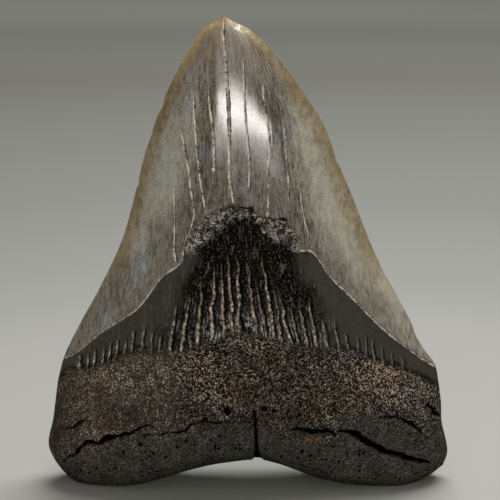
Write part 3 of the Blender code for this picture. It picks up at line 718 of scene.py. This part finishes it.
def enamel(graph, x, z, where):
    """Grey-brown enamel: broken streaks, blue-grey clouds, an ochre rim, paler flanks that are partly painted
    reflection, and painted light at the tip and round the highlight.
    """
    place, rim, back = (graph.value_of(name) for name in ("place", "rim", "back"))
    seed = graph.times(back, 9.0)
    across = graph.add(graph.times(place, 12.0), graph.times(x, 0.55))
    fibres = graph.noise(graph.vector(across, graph.times(z, 0.13), seed), 0.52, 3.0, 0.8)
    bands = graph.noise(graph.vector(across, graph.times(z, 0.12), graph.add(seed, 5.0)), 1.9, 3.0)
    mottle = graph.noise(graph.vector(x, graph.times(z, 0.5), seed), 1.5, 4.0, 0.75)
    clouds = graph.noise(where, 8.0, 4.0)
    grain = graph.noise(where, 0.42, 2.0, 0.9)
    broad = graph.noise(graph.vector(x, graph.times(z, 0.35), graph.add(seed, 2.0)), 5.0, 2.0)
    top = graph.step(z, 108.0, 126.0)

    # The paler flanks are partly the enamel's own paler colour and partly painted reflection.
    shifted = graph.add(graph.size(graph.add(place, -0.03)), graph.times(graph.centred(bands), 0.35))
    flank = graph.times(graph.step(shifted, 0.38, 0.72), graph.step(z, 122.0, 98.0))
    near_edge = graph.add(graph.value_of("above_edge"), graph.times(graph.centred(clouds), 14.0))
    near_edge = graph.add(near_edge, graph.times(graph.step(x, -8.0, -18.0), -8.0))
    worn = graph.times(graph.step(near_edge, 15.0, 3.0), graph.step(graph.size(graph.add(x, -2.0)), 12.0, 22.0),
                       graph.less(back))
    colour = graph.mix(graph.times(graph.step(bands, 0.42, 0.62), 0.7), linear(ENAMEL_MIDDLE), linear(ENAMEL_BROWN))
    colour = graph.mix(graph.times(graph.step(clouds, 0.46, 0.74), 0.6), colour, linear(ENAMEL_BLUE))
    colour = graph.mix(graph.times(flank, graph.less(graph.times(worn, 0.6)), 0.85), colour, linear(ENAMEL_PALE_AND_SHEEN))
    # A blue-white band inside the left rim: partly the enamel's own colour and partly painted reflection.
    bluish = graph.times(graph.step(graph.size(graph.add(rim, -7.5)), 4.0, 0.5), graph.step(broad, 0.4, 0.62))
    bluish = graph.times(bluish, graph.step(x, 5.0, -15.0), graph.step(z, 30.0, 50.0), graph.less(top))
    colour = graph.mix(graph.times(bluish, 0.4), colour, linear(ENAMEL_BLUE_WHITE_AND_SHEEN))

    streaky = graph.math("MAXIMUM", graph.less(flank), graph.times(worn, 0.4))
    streaks = graph.times(graph.centred(graph.step(fibres, 0.28, 0.72)), graph.add(graph.times(streaky, 2.2), 0.2))
    grained = graph.times(graph.centred(grain), graph.add(graph.times(graph.less(flank), 2.2), 1.6))
    tone = graph.add(graph.add(streaks, graph.times(graph.centred(mottle), 1.3)),
                     graph.add(grained, graph.add(graph.times(worn, -0.14), 1.0)))
    # Painted light: the enamel is lightened towards the tip.
    tone = graph.add(tone, graph.add(graph.times(graph.centred(broad), 0.7), graph.times(top, 1.3)))
    # Painted reflection: the flanks are lightened further, more on the right.
    tone = graph.add(tone, graph.times(flank, graph.add(graph.times(graph.step(x, -5.0, 16.0), 0.15), 0.15)))
    # Painted shade and light round the highlight: a little darker below it, lighter to its left and darker to its
    # right.
    tone = graph.add(tone, graph.times(graph.step(z, 96.0, 84.0), graph.less(flank), -0.06))
    painted_light_beside_highlight = graph.add(graph.times(graph.step(x, 8.0, -10.0), 0.42), -0.14)
    tone = graph.add(tone, graph.times(graph.step(z, 82.0, 98.0), graph.less(flank), painted_light_beside_highlight))
    colour = graph.scaled(colour, graph.math("MAXIMUM", tone, 0.2))

    ragged = graph.add(rim, graph.add(graph.times(graph.centred(clouds), 4.0), graph.times(graph.centred(mottle), 5.0)))
    width = graph.add(graph.times(graph.step(z, 130.0, 100.0), graph.add(graph.step(x, -20.0, 20.0), 2.4)), 1.2)
    near_rim = graph.step(graph.math("DIVIDE", ragged, width), 1.5, 0.2)
    speckled = graph.add(graph.times(graph.step(grain, 0.35, 0.6), 0.4), 0.6)
    ochre = graph.times(near_rim, graph.step(z, 42.0, 72.0), speckled)
    olive = graph.mix(graph.step(mottle, 0.36, 0.62), linear(OLIVE), linear(OCHRE))
    # Painted light: the ochre and olive rim is lightened towards the tip, most on the left.
    painted_tip_light = graph.times(top, graph.add(graph.times(graph.step(x, 0.0, -12.0), 0.9), 0.5))
    colour = graph.mix(graph.times(ochre, 0.9), colour, graph.scaled(olive, graph.add(painted_tip_light, 1.0)))
    flare = graph.value_of("flare")
    crumbs = graph.mix(graph.step(grain, 0.46, 0.72), linear(FLARE_GREY), linear(FLARE_SPECK))
    rough_grey = graph.times(flare, graph.step(graph.add(mottle, graph.times(flare, 0.3)), 0.4, 0.66))
    return graph.mix(rough_grey, colour, crumbs), fibres, near_rim


def cracks(graph, colour, x, z, where, warp, jitter):
    """Cracks of the enamel: a broken pale filling with a dark border on its right."""
    swelling = graph.add(graph.times(graph.centred(graph.noise(where, 1.8, 3.0)), 2.4), 1.0)
    line, gain = line_nearby(graph, "crack", graph.add(graph.times(warp, 0.4), graph.times(jitter, 0.7)))
    open_here = graph.value_of("crack_open")
    gain = graph.times(gain, graph.add(graph.times(open_here, 0.3), swelling))
    aside = graph.add(graph.times(open_here, 0.14), -0.24)
    half = graph.add(graph.times(open_here, 0.12), 0.12)
    dark = line_core(graph, graph.add(line, aside), gain, half, 0.26)
    dark = graph.times(dark, graph.add(graph.times(graph.step(swelling, 0.7, 1.3), 0.55), 0.45))
    filled = graph.step(graph.noise(graph.vector(x, graph.times(z, 0.5), 2.0), 1.4, 4.0, 0.8), 0.4, 0.56)
    filled = graph.times(filled, graph.less(graph.times(open_here, 0.85)))
    beaded = graph.add(graph.times(graph.centred(graph.noise(where, 0.7, 3.0, 0.8)), 3.0), 1.0)
    pale = graph.times(line_core(graph, line, graph.times(gain, beaded), 0.2, 0.22), filled)
    colour = graph.mix(graph.times(dark, 0.9), colour, linear(CRACK_DARK))
    colour = graph.mix(pale, colour, linear(CRACK_PALE))
    pit_x, pit_z, radius = CRACK_PIT
    away = graph.math("POWER", graph.add(graph.math("POWER", graph.size(graph.add(x, -pit_x)), 2.0),
                                         graph.math("POWER", graph.size(graph.add(z, -pit_z)), 2.0)), 0.5)
    pit = graph.times(graph.step(away, radius * 1.3, radius * 0.7), graph.less(graph.value_of("back")))
    return graph.mix(pit, colour, linear(CRACK_PALE)), dark, pale


def bare_band(graph, x, z, where):
    """The bare band: near-black and finely streaked in the middle, satin slate towards the flanks, with a painted
    shadow along the ledge and painted glints at the foot of the middle.
    """
    above = graph.times(graph.value_of("below_line"), -1.0)
    fan = graph.times(graph.value_of("stria_phase"), 2.4)
    grain = graph.noise(where, 0.5, 2.0)
    streaks = graph.noise(graph.vector(fan, graph.times(z, 0.1), 3.0), 0.5, 3.0, 0.75)
    specks = graph.noise(graph.vector(x, graph.times(z, 0.7), 3.0), 0.36, 2.0, 0.9)
    wide = graph.noise(graph.vector(x, graph.times(z, 0.5), 0.0), 4.0, 3.0)
    off_middle = graph.size(graph.add(x, graph.times(graph.add(z, -46.0), 0.02)))
    reach = graph.add(graph.times(graph.step(z, 68.0, 44.0), 9.0), 14.0)
    from_middle = graph.math("DIVIDE", graph.add(off_middle, graph.times(graph.centred(wide), 10.0)), reach)
    middle = graph.step(from_middle, 1.25, 0.8)
    growing = graph.add(graph.times(graph.step(above, 30.0, 8.0), 0.4), 0.6)
    streak = graph.times(graph.step(streaks, 0.57, 0.67), growing)
    speck = graph.times(graph.step(specks, 0.58, 0.71), 0.8)
    slate = graph.times(graph.step(above, 17.0, 5.0), graph.step(wide, 0.38, 0.6), graph.step(specks, 0.36, 0.62))
    slate = graph.mix(slate, linear(BAND_DARK), linear(BAND_BLUE))
    dark = graph.mix(graph.math("MAXIMUM", streak, speck), slate, linear(BAND_FIBRE))
    worn = graph.noise(graph.vector(x, graph.times(z, 0.14), 6.0), 0.7, 4.0, 0.8)
    worn = graph.times(graph.step(worn, 0.5, 0.66), graph.add(graph.times(graph.step(x, 5.0, -15.0), 0.45), 0.15))
    flank = graph.mix(graph.step(grain, 0.3, 0.7), linear(BAND_FLANK), linear(BAND_SATIN))
    flank = graph.mix(worn, flank, linear(BAND_STREAK))
    # Painted shadow: a dark strip just above the root line, out on both sides, under the root's ledge.
    ledge = graph.add(above, graph.times(graph.centred(wide), 2.5))
    ledge = graph.times(graph.step(ledge, 1.5, 0.5), graph.step(graph.size(x), 14.0, 22.0))
    flank = graph.mix(graph.times(ledge, 0.85), flank, linear(BAND_DARK))
    # Painted glints near the foot of the middle of the band.
    painted_glint = graph.times(graph.step(above, 9.0, 0.0), graph.step(streaks, 0.46, 0.58),
                        graph.step(graph.noise(where, 1.2, 3.0, 0.7), 0.46, 0.58))
    painted_glint = graph.times(painted_glint, graph.step(graph.size(graph.add(x, -1.0)), 26.0, 8.0))
    return graph.mix(painted_glint, graph.mix(middle, flank, dark), linear(BAND_GLINT)), middle, streaks


def ridges(graph, colour, x, z, warp, jitter):
    """The tan ridges of the bare band: broken and beaded, brighter at the foot, each with a dark groove beside it."""
    line, gain = line_nearby(graph, "stria", graph.add(graph.times(warp, 0.7), graph.times(jitter, 1.3)))
    beads = graph.noise(graph.vector(x, graph.times(z, 0.7), 4.0), 0.7, 3.0, 0.85)
    pieces = graph.noise(graph.vector(graph.times(x, 0.5), graph.times(z, 0.3), 8.0), 1.1, 2.0, 0.6)
    growing = graph.step(graph.value_of("below_line"), -15.0, -1.0)
    ragged = graph.add(graph.times(graph.centred(beads), 5.0), graph.add(graph.times(growing, 0.45), 0.7))
    side = line_core(graph, graph.add(line, 0.1), gain, 0.2, 0.45)
    outer = graph.step(graph.size(graph.add(x, 2.0)), 18.0, 30.0)
    narrow = graph.add(graph.times(outer, -0.14), 0.3)
    groove = graph.times(line_core(graph, graph.add(line, -0.5), gain, narrow, 0.6), 0.95)
    top = line_core(graph, line, graph.times(gain, ragged), graph.add(graph.times(outer, -0.12), 0.16), 0.34)
    shine = graph.add(graph.times(graph.step(beads, 0.43, 0.57), 0.9), 0.1)
    top = graph.times(top, shine, graph.step(gain, 0.0, 0.9), graph.add(graph.times(graph.step(pieces, 0.38, 0.56), 0.6), 0.4))
    fainter = graph.times(graph.step(x, -10.0, 10.0), -0.4)
    top = graph.times(top, graph.add(graph.times(outer, fainter), 1.0))
    colour = graph.mix(groove, colour, linear(STRIA_GROOVE))
    colour = graph.mix(graph.times(side, graph.step(beads, 0.3, 0.56), 0.8), colour, linear(STRIA_BROWN))
    return graph.mix(top, colour, graph.mix(outer, linear(STRIA_TAN), linear(STRIA_PALE))), top, groove


def filaments(graph, where, size):
    """Thin winding lines, where a noise passes through its middle value."""
    drift = graph.noise(where, size, 2.0, 0.6)
    return graph.step(graph.size(graph.centred(drift)), 0.06, 0.015)


def broken_patch(graph, x, z, where):
    """Broken enamel: dark crumbs and grey ones, crossed by thin bright edges that are partly pale scratches and partly
    painted glints.
    """
    chips = graph.noise(where, 1.9, 3.0, 0.6)
    grit = graph.noise(where, 0.42, 2.0, 0.9)
    level = filaments(graph, graph.vector(graph.times(x, 0.7), 2.0, graph.times(z, 1.3)), 1.1)
    slanted = filaments(graph, graph.vector(graph.add(x, z), 5.0, graph.times(graph.add(z, graph.times(x, -1.0)), 0.6)), 1.0)
    edges = graph.times(graph.math("MAXIMUM", level, slanted), graph.step(grit, 0.34, 0.56))
    scratches_and_glints = graph.times(edges, graph.add(graph.times(graph.step(chips, 0.4, 0.58), 0.8), 0.15))
    grey = graph.times(graph.step(grit, 0.42, 0.64), graph.add(graph.times(graph.step(chips, 0.4, 0.62), 0.9), 0.05))
    base = graph.mix(grey, linear(PATCH_DARK), linear(PATCH_GREY))
    return graph.mix(scratches_and_glints, base, linear(PATCH_SCRATCH_AND_GLINT)), graph.add(chips, graph.times(edges, 0.4))


def bone(graph, x, z, where):
    """Speckled brown-black bone, with pores, ochre stains and a plainer grey lip below the fissures; the pale specks
    are partly the bone's grain and partly painted glints, and the sparks are painted glints.
    """
    below, pale, stain = (graph.value_of(name) for name in ("below_line", "pale", "ochre"))
    clouds = graph.noise(where, 9.0, 3.0)
    patches = graph.noise(where, 3.0, 3.0, 0.6)
    fine = graph.noise(where, 0.62, 3.0, 0.9)
    _, grit = graph.cells(where, 0.3)
    painted_spark_away, painted_spark_kind = graph.cells(where, 0.75)
    streaks = graph.noise(graph.vector(x, graph.times(z, 0.22), 0.0), 1.1, 3.0, 0.75)
    plainer = graph.add(graph.times(graph.centred(clouds), 14.0), graph.times(graph.step(x, 20.0, 34.0), 10.0))
    upper = graph.step(graph.add(below, plainer), 28.0, 18.0)
    dim = graph.value_of("dim")

    left = graph.times(graph.step(graph.add(x, graph.times(graph.centred(clouds), 16.0)), -15.0, -24.0), upper)
    brown = graph.mix(graph.step(clouds, 0.42, 0.58), linear(ROOT_GREY), linear(ROOT_BROWN))
    base = graph.mix(upper, linear(LIP_GREY), brown)
    tone = graph.add(graph.times(graph.centred(patches), 1.2), graph.add(graph.times(left, 0.95), 1.0))
    # Darker in the dim spots; those at the root's ends are painted shade.
    tone = graph.times(tone, graph.add(graph.times(dim, -0.5), 1.0))
    base = graph.mix(graph.times(left, upper, 0.6), base, linear(ROOT_LEFT_GREY))
    base = graph.scaled(base, graph.math("MAXIMUM", graph.add(tone, graph.times(graph.centred(fine), 2.2)), 0.1))
    base = graph.mix(graph.times(stain, graph.step(fine, 0.3, 0.56), 0.8), base, linear(OCHRE_STAIN))

    # Pale specks: partly the bone's own grain and partly painted glints.
    amount = graph.add(graph.times(pale, 0.34), graph.add(graph.times(graph.step(patches, 0.38, 0.64), 0.16), 0.13))
    amount = graph.add(amount, graph.times(graph.step(x, 14.0, 26.0), 0.04))
    kept = graph.math("MAXIMUM", graph.add(graph.times(upper, 0.78), 0.22), graph.times(pale, 0.9))
    amount = graph.times(amount, kept, graph.add(graph.times(dim, -0.6), 1.0))
    amount = graph.times(amount, graph.add(graph.times(graph.centred(streaks), graph.add(graph.times(left, 3.0), 2.0)), 1.0))
    fleck = graph.add(grit, graph.times(graph.centred(fine), 0.7))
    speck = graph.times(graph.math("POWER", graph.step(fleck, 0.35, 1.1), 2.5), amount, 2.9)
    # Painted glints: small round sparks.
    painted_spark = graph.times(graph.step(painted_spark_away, 0.34, 0.2), graph.step(painted_spark_kind, 0.6, 0.95), graph.add(pale, 0.3), upper)
    speck = graph.math("MAXIMUM", speck, graph.times(painted_spark, 0.8))
    colour = graph.mix(speck, base, graph.mix(stain, linear(ROOT_SPECK_AND_GLINT), linear(ROOT_TAN)))
    dark = graph.times(graph.step(fleck, 0.6, 0.2), graph.add(graph.times(left, -0.35), 0.85),
                       graph.add(graph.times(upper, 0.35), 0.65))
    colour = graph.mix(dark, colour, linear(PORE_AND_FISSURE_SHADE))
    return graph.mix(pores(graph, x, z, where, upper), colour, linear(PORE_AND_FISSURE_SHADE)), fleck


def pores(graph, x, z, where, upper):
    """Dark pores of the lower lip: round ones of mixed size, and short level slits."""
    round_away, round_kind = graph.cells(where, 1.15)
    slit_away, slit_kind = graph.cells(graph.vector(graph.times(x, 0.4), 0.0, z), 1.0)
    crowding = graph.noise(where, 4.0, 2.0)
    dots = graph.step(graph.add(round_away, graph.times(round_kind, 0.45)), 0.46, 0.34)
    slits = graph.step(graph.add(slit_away, graph.times(slit_kind, 0.5)), 0.3, 0.18)
    both = graph.math("MAXIMUM", dots, slits)
    return graph.times(both, graph.less(upper), graph.step(crowding, 0.38, 0.52))


def relief_bump(graph, height):
    """A bump from a height in millimetres."""
    bump = graph.node("ShaderNodeBump")
    bump.inputs["Strength"].default_value = 1.0
    bump.inputs["Distance"].default_value = MM
    graph.feed(bump.inputs["Height"], height)
    return bump.outputs["Normal"]


def polished(graph, name, index):
    """A surface shader with its own refractive index."""
    shader = graph.node("ShaderNodeBsdfPrincipled", name=name, label=name)
    shader.inputs["IOR"].default_value = index
    return shader


def fossil_material():
    material = bpy.data.materials.new("fossil_tooth")
    material.use_nodes = True
    tree = material.node_tree
    tree.nodes.remove(tree.nodes["Principled BSDF"])
    graph = Graph(tree)
    x, z, where = places(graph)
    warp = graph.times(graph.centred(graph.noise(where, 1.3, 3.0, 0.6)), 0.8)
    jitter = graph.times(graph.centred(graph.noise(where, 0.45, 2.0, 0.7)), 0.6)
    front = graph.less(graph.value_of("back"))

    at_patch = graph.step(graph.size(graph.add(x, 1.8)), 17.0, 14.0)
    torn = graph.times(graph.centred(graph.noise(where, 3.0, 2.0)), at_patch, 5.0)
    edge = graph.add(graph.value_of("above_edge"), graph.times(warp, graph.add(graph.times(at_patch, 3.0), 1.2)))
    edge = graph.add(edge, torn)
    on_enamel = graph.step(edge, -0.08, 0.08)
    ragged_line = graph.add(graph.value_of("below_line"),
                            graph.times(graph.centred(graph.noise(where, 1.4, 3.0, 0.7)), 5.0))
    on_root = graph.step(ragged_line, -0.8, 0.8)

    gloss_colour, fibres, near_rim = enamel(graph, x, z, where)
    gloss_colour, crack, filling = cracks(graph, gloss_colour, x, z, where, warp, jitter)
    matt_colour, middle, streaks = bare_band(graph, x, z, where)
    matt_colour, ridge, groove = ridges(graph, matt_colour, x, z, warp, jitter)
    patch = graph.add(graph.value_of("patch"), graph.times(graph.centred(graph.noise(where, 1.8, 4.0, 0.65)), 2.2))
    patch = graph.times(graph.step(patch, 0.3, 0.75), graph.step(graph.value_of("patch"), 0.0, 0.3))
    patch_colour, broken = broken_patch(graph, x, z, where)
    matt_colour = graph.mix(patch, matt_colour, patch_colour)

    # The thin pale edge where the enamel ends.
    inner_patch = graph.step(graph.size(graph.add(x, 1.8)), 14.4, 12.4)
    edge_line = graph.times(graph.step(graph.size(edge), 0.36, 0.14), front, graph.less(inner_patch))
    broken_off = graph.noise(where, 1.5, 4.0, 0.75)
    edge_line = graph.times(edge_line, graph.step(broken_off, 0.42, 0.56), 0.85)
    edge_line = graph.times(edge_line, graph.less(graph.times(graph.step(x, -30.0, -36.0), 0.65)))
    gap = graph.times(graph.step(graph.size(graph.add(edge, -0.45)), 0.35, 0.1), graph.step(broken_off, 0.6, 0.42), front)
    gloss_colour = graph.mix(graph.times(gap, 0.8), gloss_colour, linear(CRACK_DARK))
    gloss_colour = graph.mix(edge_line, gloss_colour, linear(CRACK_PALE))
    matt_colour = graph.mix(edge_line, matt_colour, linear(CRACK_PALE))

    bone_colour, grain = bone(graph, x, z, where)
    matt_colour = graph.mix(on_root, matt_colour, bone_colour)
    # Painted shade: the fissures, the cleft and the holes are filled with near-black.
    fissure_edge = graph.add(graph.value_of("outside_fissure"), graph.add(warp, jitter))
    fissure_shade = graph.step(fissure_edge, 0.15, -0.15)
    matt_colour = graph.mix(fissure_shade, matt_colour, linear(PORE_AND_FISSURE_SHADE))

    height = graph.times(on_root, grain, 0.3)
    height = graph.add(height, graph.times(graph.add(ridge, graph.times(groove, -0.7)), 0.3))
    height = graph.add(height, graph.times(crack, -0.15))
    height = graph.add(height, graph.times(patch, broken, 0.35))
    height = graph.add(height, graph.times(middle, graph.less(on_enamel), streaks, 0.25))
    height = graph.add(height, graph.times(on_enamel, fibres, 0.006))
    normal = relief_bump(graph, height)

    gloss = polished(graph, "polished_enamel", 1.7)
    dull = graph.math("MAXIMUM", graph.math("MAXIMUM", near_rim, graph.value_of("flare")),
                      graph.math("MAXIMUM", crack, filling))
    graph.feed(gloss.inputs["Specular IOR Level"], graph.add(graph.times(dull, -0.85), 1.0))
    graph.feed(gloss.inputs["Base Color"], gloss_colour)
    dulled = graph.add(graph.times(graph.value_of("flare"), 0.3), graph.times(near_rim, 0.25))
    sheen = graph.add(graph.times(graph.noise(where, 1.6, 4.0, 0.75), 0.16), graph.add(dulled, 0.1))
    graph.feed(gloss.inputs["Roughness"], sheen)
    matt = polished(graph, "matt_fossil", 1.5)
    plain = graph.less(graph.math("MAXIMUM", on_root, graph.math("MAXIMUM", middle, patch)))
    graph.feed(matt.inputs["Specular IOR Level"], graph.add(graph.times(plain, 0.12), 0.03))
    graph.feed(matt.inputs["Base Color"], matt_colour)
    rough = graph.math("MAXIMUM", on_root, middle)
    graph.feed(matt.inputs["Roughness"], graph.add(graph.times(rough, 0.35), 0.42))
    for shader in (gloss, matt):
        graph.feed(shader.inputs["Normal"], normal)
    both = graph.node("ShaderNodeMixShader")
    for socket, entry in zip(both.inputs, (on_enamel, matt.outputs[0], gloss.outputs[0])):
        graph.feed(socket, entry)
    graph.feed(tree.nodes["Material Output"].inputs["Surface"], both.outputs[0])
    return material


# ---- the studio ----------------------------------------------------------------------------------------------

FLOOR_RADIUS = 20.0
FLOOR_REACH = 4.0         # the farthest place where the floor's tone still changes, in metres

# The floor's grey at growing distances from the tooth, in metres, with painted shade and light in it:
# the stops nearest the tooth are a painted shadow under it, the middle ones painted shade further back, and the far
# ones painted light where the lamps' light falls away.
FLOOR_GREYS_AND_PAINTED_SHADE = ((0.025, (148, 150, 141)), (0.045, (154, 154, 149)), (0.062, (166, 164, 160)), (0.18, (156, 155, 150)), (0.27, (140, 141, 136)), (0.43, (126, 127, 122)),
               (0.63, (119, 120, 114)), (0.93, (116, 116, 109)), (1.3, (139, 140, 132)),
               (1.7, (204, 206, 195)), (4.0, (226, 228, 220)))


def floor_material():
    """A pale floor with painted shade and light: a painted shadow under the tooth, painted shade that darkens it to
    grey-green further back, and painted light far off.
    """
    material = bpy.data.materials.new("studio_floor")
    material.use_nodes = True
    graph = Graph(material.node_tree)
    coordinates = graph.node("ShaderNodeTexCoord").outputs["Object"]
    away = graph.node("ShaderNodeVectorMath", operation="LENGTH")
    graph.feed(away.inputs[0], coordinates)
    ramp = graph.node("ShaderNodeValToRGB")
    graph.feed(ramp.inputs[0], graph.times(away.outputs["Value"], 1.0 / FLOOR_REACH))
    stops = ramp.color_ramp.elements
    while len(stops) < len(FLOOR_GREYS_AND_PAINTED_SHADE):
        stops.new(0.5)
    for stop, (distance, tone) in zip(stops, FLOOR_GREYS_AND_PAINTED_SHADE):
        stop.position = distance / FLOOR_REACH
    for stop, (distance, tone) in zip(stops, FLOOR_GREYS_AND_PAINTED_SHADE):
        stop.color = linear(tone)
    surface = material.node_tree.nodes["Principled BSDF"]
    graph.feed(surface.inputs["Base Color"], ramp.outputs["Color"])
    surface.inputs["Roughness"].default_value = 0.7
    surface.inputs["Specular IOR Level"].default_value = 0.2
    return material


def studio_floor():
    bpy.ops.mesh.primitive_circle_add(vertices=128, radius=FLOOR_RADIUS, fill_type="NGON")
    floor = bpy.context.active_object
    floor.name = "studio_floor"
    floor.data.materials.append(floor_material())


def soft_box(name, where, size, watts, target=(0.0, 0.0, 0.06)):
    """A rectangular soft light that faces the target."""
    lamp = bpy.data.lights.new(name, "AREA")
    lamp.shape = "RECTANGLE"
    lamp.size, lamp.size_y = size
    lamp.energy = watts
    holder = bpy.data.objects.new(name, lamp)
    bpy.context.scene.collection.objects.link(holder)
    holder.location = where
    holder.rotation_euler = (Vector(target) - Vector(where)).to_track_quat("-Z", "Y").to_euler()
    holder.visible_camera = False
    return lamp


def studio_light():
    front = soft_box("front_box", (0.12, -1.25, 0.375), (1.4, 0.17), 7.0)
    front.color = (1.0, 0.955, 0.91)
    soft_box("top_box", (0.28, 0.6, 1.15), (1.2, 0.8), 24.0)
    soft_box("front_fill", (0.1, -0.6, 1.05), (2.2, 1.4), 3.0)
    world = bpy.data.worlds.new("studio")
    bpy.context.scene.world = world
    world.use_nodes = True
    background = world.node_tree.nodes["Background"]
    background.inputs["Color"].default_value = linear((150, 152, 143))
    background.inputs["Strength"].default_value = 0.2


CAMERA_TARGET = (0.00056, 0.0046, 0.0657)
CAMERA_DISTANCE = 0.55
CAMERA_ELEVATION = 12.0
CAMERA_LENS = 140.6


def studio_camera():
    lens = bpy.data.cameras.new("camera")
    lens.lens = CAMERA_LENS
    lens.sensor_width = 36.0
    camera = bpy.data.objects.new("camera", lens)
    bpy.context.scene.collection.objects.link(camera)
    rise = math.radians(CAMERA_ELEVATION)
    back = Vector((0.0, -math.cos(rise), math.sin(rise)))
    camera.location = Vector(CAMERA_TARGET) + back * CAMERA_DISTANCE
    camera.rotation_euler = (-back).to_track_quat("-Z", "Y").to_euler()
    bpy.context.scene.camera = camera


def fossil_tooth():
    tooth = bpy.data.objects.new("fossil_tooth", tooth_mesh())
    bpy.context.scene.collection.objects.link(tooth)
    tooth.data.materials.append(fossil_material())
    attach(tooth, "root")
    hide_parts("tooth")


bpy.context.scene.view_settings.view_transform = "Standard"
studio_camera()
studio_light()
studio_floor()
fossil_tooth()
